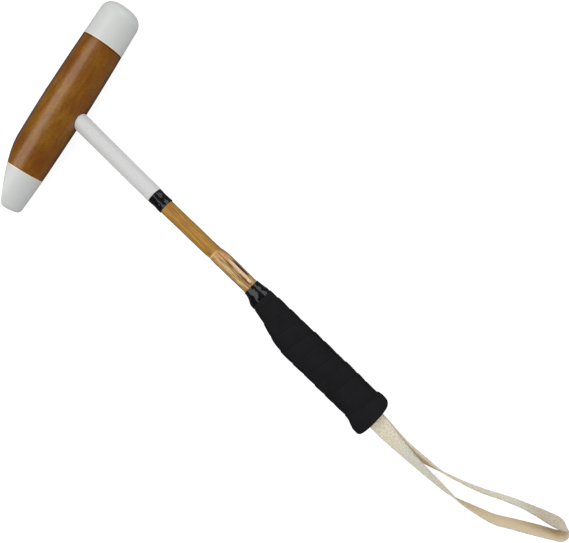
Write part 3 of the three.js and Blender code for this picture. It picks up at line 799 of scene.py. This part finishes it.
# Superellipses |y/a|^n + |z/b|^n = 1 round the handle's middle line, moved in by an inset
def ovalRings(station, inset, columns):
    angle = anglesRound(columns)
    middle, halfWidth, halfDepth = (part[:, None] for part in handleEdges(station))
    power = 2 / grip["squareness"]
    cos, sin = np.cos(angle), np.sin(angle)
    y = middle + (halfWidth - inset) * np.sign(cos) * np.abs(cos) ** power
    z = (halfDepth - inset) * np.sign(sin) * np.abs(sin) ** power
    return joined(np.asarray(station)[:, None], y, z)


# Moves the points of the rings straight out from the handle's middle line: p + lift (p - m) / |p - m|
def liftRings(points, station, lift):
    middle = handleEdges(station)[0][:, None]
    points[..., 1:] += unit(points[..., 1:] - joined(middle, 0.0)) * lift[..., None]


# Lift of the wound tape, and the crease before each lap, which the rubber darkens as painted shade: the
# turn at a station comes from where the laps cross the two sides, and past a lap the height steps up,
# swells and thins out towards the next one
def lapHeights(station, angle):
    halfTurns = np.interp(station, grip["laps"], np.arange(len(grip["laps"])))
    fromHeel = ((math.pi - angle) / math.pi) % 2
    turns = (halfTurns[:, None] - fromHeel[None, :]) / 2
    phase = turns - np.floor(turns)
    mean, swing, pace, start = grip["lapChange"]
    strength = mean + swing * np.sin(pace * np.floor(turns) + start)
    step = smoothRise(phase, 0.0, grip["lapStep"])
    body = (1 - phase) ** grip["lapTaper"] + grip["lapSwell"] * np.sin(math.pi * phase)
    calmStart, calmEnd, calmShare = grip["calm"]
    fade = 1 - calmShare * smoothRise(station, calmStart, calmEnd)[:, None]
    creaseShade = np.exp(-((phase - grip["creaseAt"]) / grip["creaseWidth"]) ** 2) * fade
    return grip["lap"] * strength * step * body * fade, creaseShade


rubber = {
    "grain": {"Scale": 900.0, "Colour": (0.0095, 0.0095, 0.0108), "Depth": 0.35},
    "mottleNoise": (60.0, 2.0), "mottleRamp": (0.3, 0.7, 0.85, 1.15),
    "creaseShade": (0.003, 0.003, 0.0035), "creaseShare": 0.24,
    "finish": {"Roughness": 0.78, "Specular IOR Level": 0.15},
    "bump": (0.00022, 0.7),
}


# Grained rubber, mottled, with painted shade in the creases between the laps
def makeRubber():
    material, tree = startMaterial("gripRubber")
    grain = useGroup(tree, speckle, **rubber["grain"])
    mottle = patches(tree, objectSpace(tree), rubber, "mottle")
    # Painted shade in the creases between the laps
    creaseShade = product(tree, readValues(tree, "creaseShade"), rubber["creaseShare"])
    tone = mixColour(tree, creaseShade, scaled(tree, grain["Colour"], mottle), rubber["creaseShade"])
    return endMaterial(material, tone, rubber, grain["Height"])


# The wound tape from the neck to the butt. It is drawn in over the rim by r - sqrt(r^2 - over^2), and then
# turns into the lip round the wood's face
def makeGrip():
    columns = grip["columns"]
    butt = mallet["butt"]
    angle = anglesRound(columns)
    rim = grip["rimHeel"] + (grip["rimToe"] - grip["rimHeel"]) * (0.5 + 0.5 * np.cos(angle))
    body = np.arange(wrapTop, butt, grip["step"])
    points = ovalRings(body, 0.0, columns)
    over = np.clip(body[:, None] - butt + rim, 0, None)
    drawn = rim - np.sqrt(np.clip(rim**2 - over**2, 0, None))
    lift, creaseShade = lapHeights(body, angle)
    low, high = grip["topRise"]
    lift = lift * smoothRise(body, wrapTop + low, wrapTop + high)[:, None]
    liftRings(points, body, lift - drawn)
    lip = np.array(grip["lipRings"])
    centre = np.array([butt, float(handleEdges([butt])[0][0]), 0.0])
    face = centre + (points[-1] - centre) * lip[:, :1, None]
    face[..., 0] = butt - lip[:, 1:]
    along = np.concatenate([body, butt + np.arange(len(lip))])
    obj = makeSkin("gripWrap", place(np.vstack([points, face])), along, sharp=70)
    addValues(obj, "creaseShade", creaseShade)
    finishPiece(obj, makeRubber(), "grip_wrap")


# Stretched tape over the step from the cane to the handle, in uneven flats, its top ring drawn in
def makeNeckTape(glossTape):
    columns = tape["columns"]
    body = np.linspace(neckTop, wrapTop + tape["neckUnder"], tape["neckRings"])
    uneven = tape["neckFlats"] * facets(len(body), columns, **tape["neckNet"])
    low, high = tape["neckRise"]
    uneven = uneven * smoothRise(body, neckTop + low, neckTop + high)[:, None]
    points = ovalRings(body, tape["neckInset"], columns)
    liftRings(points, body, uneven)
    middle = np.array([handleEdges(body)[0][0], 0.0])
    start = points[:1].copy()
    start[..., 1:] = middle + (start[..., 1:] - middle) * tape["neckDrawn"]
    along = np.concatenate([[neckTop], body])
    obj = makeSkin("neckTape", place(np.vstack([start, points])), along, sharp=80)
    finishPiece(obj, glossTape, "neck_tape")


handleLook = {
    "grain": {"Stretch": (40.0, 500.0, 500.0), "Dark": (0.008, 0.007, 0.007),
              "Light": (0.02, 0.017, 0.015), "Streak": 0.6},
    "finish": {"Roughness": 0.5},
    "bump": (0.0001, 0.5),
}
steelLook = {
    "grain": {"Scale": 900.0, "Colour": (0.32, 0.32, 0.32), "Depth": 0.1},
    "finish": {"Roughness": 0.4, "Metallic": 1.0},
}


# Materials of the solids that show as they are
def dressSolids(webbing):
    wood = makePlain("handleWood", fibres, handleLook)
    steel = makePlain("steel", speckle, steelLook)
    for material, names in (
        (wood, ("handle_half_upper", "handle_half_lower")),
        (steel, ("sling_pin_inner", "sling_pin_outer")),
        (webbing, ("sling_tail_upper", "sling_tail_lower")),
    ):
        for name in names:
            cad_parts[name].material_slots[0].material = material


# Sling

# route is (x, y, z, lean in degrees) from the pivot. flat and round are shares of the section's half width
sling = {
    "pivot": (246.869, -7.307, 18.87), "width": 19.0, "thickness": 1.7, "inside": 6.0, "step": 1.2,
    "flat": 0.95, "round": 0.05, "flatPoints": 13, "edgePoints": 5, "pathEvery": 4,
    "blend": (0.002, 0.015),
    "route": [
        (0, 0, 1.05, 0), (8, -0.3, 0.9, 9), (17, -1.3, 0.6, 24), (35, -2.4, -0.8, 42),
        (53.4, -3, -3.4, 55), (72, -3.1, -6.2, 64), (89.7, -2.7, -8.3, 70), (106.6, -2.2, -9.1, 77),
        (122.7, -0.6, -9.2, 87), (136.4, 3.1, -9.2, 96), (150, 7.1, -9.3, 104), (162.8, 11.7, -9.4, 107),
        (174.2, 18.2, -9.4, 107), (185.5, 24.8, -9.4, 110), (196.5, 31.2, -9.4, 111),
        (207.6, 37.6, -9.4, 111), (215.4, 42.1, -9.4, 109), (222, 46.2, -9.3, 106), (224.3, 50, -9.2, 98),
        (223.8, 54.2, -9.2, 89), (221.8, 57.6, -9.3, 78), (217.2, 56.8, -9.5, 66), (213, 55.6, -9.7, 61),
        (209, 54.2, -9.8, 61), (200.5, 51.4, -9.7, 64), (191.4, 48.7, -9.5, 71), (181.6, 45.5, -9.3, 77),
        (168.9, 41, -9.2, 83), (156.8, 35.6, -9.2, 86), (145, 29.9, -9.2, 89), (133, 24.2, -9.2, 89),
        (120.7, 19, -9.2, 91), (107.8, 14.5, -9.2, 94), (94.6, 10.3, -9.1, 96), (80.3, 6.6, -8.9, 104),
        (66.2, 4, -8, 116), (51.3, 1.5, -5.6, 127), (34.8, -0.1, -3, 139), (17, -0.2, -1.3, 156),
        (8, -0.2, -1.2, 171), (0, 0, -1.05, 180),
    ],
}


# Points every step or so through the table's rows, each span a cubic h00 a + h10 m0 + h01 b + h11 m1, with
# the slope at a row taken from its neighbours
def smoothRoute(table, step):
    rows = np.array(table, float)
    gaps = np.linalg.norm(np.diff(rows[:, :3], axis=0), axis=1)
    knots = np.concatenate([[0], np.cumsum(gaps)])
    slopes = np.gradient(rows, knots, axis=0)
    at = np.linspace(0, knots[-1], int(knots[-1] / step) + 1)
    span = np.clip(np.searchsorted(knots, at, side="right") - 1, 0, len(gaps) - 1)
    t = ((at - knots[span]) / gaps[span])[:, None]
    width = gaps[span][:, None]
    return ((2 * t**3 - 3 * t**2 + 1) * rows[span] + (t**3 - 2 * t**2 + t) * width * slopes[span]
            + (3 * t**2 - 2 * t**3) * rows[span + 1] + (t**3 - t**2) * width * slopes[span + 1])


# Middle, width and thickness directions: w = cos(lean) (Z x T) + sin(lean) T x (Z x T), n = T x w
def webbingFrames(route):
    tangent = unit(np.gradient(route[:, :3], axis=0))
    level = unit(np.cross([0, 0, 1], tangent))
    rise = np.cross(tangent, level)
    lean = np.radians(route[:, 3:4])
    across = np.cos(lean) * level + np.sin(lean) * rise
    return across, np.cross(tangent, across)


# (across, out) round the webbing's section as shares of its halves: two flat faces, rounded edges
def webbingSection():
    edge, bulge = sling["flat"], sling["round"]
    flat = np.linspace(edge, -edge, sling["flatPoints"])
    turn = np.linspace(math.pi / 2, -math.pi / 2, sling["edgePoints"])[1:-1]
    heelEdge = joined(-edge - bulge * np.cos(turn), np.sin(turn))
    toeEdge = joined(edge + bulge * np.cos(turn), -np.sin(turn))
    return np.vstack([joined(flat, 1.0), heelEdge, joined(-flat, -1.0), toeEdge])


# Spans run along the webbing from the slot
weave = {
    "ribs": 0.0024, "warps": 4, "outer": (0.76, 0.69, 0.53), "outerGrey": (0.71, 0.685, 0.59),
    "greyNoise": (28.0, 1.0), "greyRamp": (0.4, 0.6, 0.0, 1.0),
    "grain": {"Scale": 620.0, "Depth": 1.2},
    # The inner face's tan paints warm light bounced inside the loop, and its paler tone over a span near
    # the slot paints light over the contact shadow between the strands
    "inner": (0.79, 0.67, 0.47), "innerPaintedLight": (0.95, 0.84, 0.66),
    "paintedLightSpan": (0.395, 0.455, 0.012), "worn": (0.78, 0.7, 0.62), "wornSpan": (0.25, 0.298, 0.018),
    "edgeShadeRamp": (0.86, 0.96, 1.0, 0.78), "weaveRamp": (-1.0, 1.0, 0.9, 1.06), "weaveHeight": 0.6,
    "finish": {"Roughness": 0.85},
    "bump": (0.00018, 0.6),
}


# Ribs sin(2 pi along / ribs) times warps sin(2 pi warps across), over a pale outer face with grey patches
# and a tan inner face that paints warm light bounced inside the loop, with painted light over the contact
# shadow between the strands near the slot, darker where it is worn, and with painted shade at its edges
def makeWebbing():
    material, tree = startMaterial("webbing")
    side = readValues(tree, "acrossShare")
    _, along = surfaceUv(tree)
    ribs = mathOf(tree, "SINE", product(tree, along, 2 * math.pi / weave["ribs"]))
    warp = mathOf(tree, "SINE", product(tree, side, 2 * math.pi * weave["warps"]))
    crossed = product(tree, ribs, warp)
    grey = patches(tree, objectSpace(tree), weave, "grey")
    outer = mixColour(tree, grey, weave["outer"], weave["outerGrey"])
    grain = useGroup(tree, speckle, Colour=outer, **weave["grain"])
    # Painted light over the contact shadow between the strands near the slot
    paintedLightPatch = between(tree, along, *weave["paintedLightSpan"])
    paintedInnerLight = mixColour(tree, paintedLightPatch, weave["inner"], weave["innerPaintedLight"])
    body = mixColour(tree, readValues(tree, "innerFace"), grain["Colour"], paintedInnerLight)
    worn = between(tree, along, *weave["wornSpan"])
    handled = mixColour(tree, worn, body, weave["worn"], blend="MULTIPLY")
    # Painted shade: the webbing darkens towards its edges
    edge = ramp(tree, mathOf(tree, "ABSOLUTE", side), *weave["edgeShadeRamp"])
    shade = ramp(tree, crossed, *weave["weaveRamp"])
    tone = scaled(tree, handled, product(tree, shade, edge))
    height = mathOf(tree, "ADD", product(tree, crossed, weave["weaveHeight"]), grain["Height"])
    return endMaterial(material, tone, weave, height)


# One length of webbing from the slot, round the loop and back into the slot
def makeSling(webbing):
    table = sling["route"]
    ends = [(-sling["inside"],) + row[1:] for row in (table[0], table[-1])]
    route = smoothRoute(ends[:1] + table + ends[1:], sling["step"])
    across, out = webbingFrames(route)
    section = webbingSection()
    middle = route[:, :3] + np.array(sling["pivot"])
    halfWidth, half = sling["width"] / 2, sling["thickness"] / 2
    points = (middle[:, None] + across[:, None] * (section[:, :1] * halfWidth)
              + out[:, None] * (section[:, 1:] * half))
    lengths = np.concatenate([[0], np.cumsum(np.linalg.norm(np.diff(middle, axis=0), axis=1))])
    obj = makeSkin("slingWebbing", points / metre, lengths, sharp=75)
    rows = len(points)
    addValues(obj, "innerFace", np.tile(section[:, 1] == -1, rows))
    addValues(obj, "acrossShare", np.tile(section[:, 0], rows))
    finishPiece(obj, webbing, "sling_loop", body=None)
    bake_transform(obj)
    print("webbing length in mm:", round(float(lengths[-1]), 1))


# Surroundings

# bounce is what lights the mallet from below, and mirrored is what its gloss sees
floor = {
    "half": 4.0, "glow": 0.86, "sheet": (0.3, 0.3, 0.3), "bounce": (0.85, 0.85, 0.85),
    "mirrored": (0.12, 0.12, 0.12),
}


# A white sheet that stays white to the camera, with a faint shadow, and dim to glossy reflections
def makeFloor():
    half = floor["half"]
    corners = [(-half, -half, 0), (half, -half, 0), (half, half, 0), (-half, half, 0)]
    mesh = bpy.data.meshes.new("floor")
    mesh.from_pydata(corners, [], [(0, 1, 2, 3)])
    obj = addObject("floor", mesh)
    material, tree = startMaterial("floorSheet")
    path = addNode(tree, "LightPath")
    bright = addNode(tree, "Emission", Color=(1, 1, 1), Strength=floor["glow"])
    sheet = addNode(tree, "BsdfDiffuse", Color=floor["sheet"])
    lit = addNode(tree, "AddShader", i0=bright[0], i1=sheet[0])
    dull = addNode(tree, "BsdfDiffuse", Color=mixColour(tree, path["Is Glossy Ray"], floor["bounce"],
                                                        floor["mirrored"]))
    choice = addNode(tree, "MixShader", i0=path["Is Camera Ray"], i1=dull[0], i2=lit[0])
    addNode(tree, "OutputMaterial", i0=choice[0])
    mesh.materials.append(material)


studio = {"fill": (0.59, 0.59, 0.59), "mirrored": (0.04, 0.04, 0.043), "backdrop": (1, 1, 1)}


# White behind the mallet, a dim even grey as its light, and nearly black to glossy reflections
def makeWorld():
    world = bpy.data.worlds.new("studio")
    bpy.context.scene.world = world
    world.use_nodes = True
    tree = world.node_tree
    tree.nodes.clear()
    path = addNode(tree, "LightPath")
    fill = mixColour(tree, path["Is Glossy Ray"], studio["fill"], studio["mirrored"])
    tone = mixColour(tree, path["Is Camera Ray"], fill, studio["backdrop"])
    shader = addNode(tree, "Background", Color=tone, Strength=1.0)
    addNode(tree, "OutputWorld", i0=shader[0])


camera = {
    "nadir": (277.8, 36.42), "height": 733.93, "roll": math.radians(44.416),
    "focal": 700 / 569,
    "sensor": 36.0, "farthest": 20.0,
}
# (right, up, height, wide, long, power) in metres and watts. right and up are as the camera sees them
panels = {
    "left": (-0.85, 0.08, 1.8, 1.4, 2.5, 20.5), "upperRight": (1.3, 1.3, 1.5, 1.6, 1.6, 14),
}


# A soft panel over the mallet that faces it, with its long side along the camera's up
def addPanel(name, right, up, height, wide, long, power):
    data = bpy.data.lights.new(name, "AREA")
    data.shape = "RECTANGLE"
    data.size = wide
    data.size_y = long
    data.energy = power
    roll = camera["roll"]
    rightward = np.array([math.cos(roll), math.sin(roll), 0])
    upward = np.array([-math.sin(roll), math.cos(roll), 0])
    spot = right * rightward + up * upward + np.array([0, 0, height])
    away = unit(spot)
    across = unit(np.cross(upward, away))
    axes = joined(across, np.cross(away, across), away)
    obj = addObject(name, data)
    obj.location = spot
    obj.rotation_euler = Matrix(axes.tolist()).to_euler()


# Straight above the mallet, turned so that the cane runs down to the right
def makeCamera():
    data = bpy.data.cameras.new("camera")
    data.sensor_width = camera["sensor"]
    data.lens = camera["sensor"] * camera["focal"]
    data.clip_end = camera["farthest"]
    obj = addObject("camera", data)
    x = mallet["crossing"][0] + camera["nadir"][0]
    y = mallet["crossing"][1] + camera["nadir"][1]
    obj.location = (x / metre, y / metre, camera["height"] / metre)
    obj.rotation_euler = (0, 0, camera["roll"])
    bpy.context.scene.camera = obj


webbing = makeWebbing()
makeHead()
makeCane()
makeWedge()
print("cane made")
makeWhiteWrap()
glossTape = makePlain("glossTape", speckle, gloss)
makeBand(glossTape)
makeNeckTape(glossTape)
print("tapes made")
makeGrip()
dressSolids(webbing)
print("handle made")
makeSling(webbing)
print("sling made")
makeFloor()
makeWorld()
for panelName, values in panels.items():
    addPanel(panelName, *values)
makeCamera()
bpy.context.scene.view_settings.view_transform = "Standard"
print("room, lights and camera made")
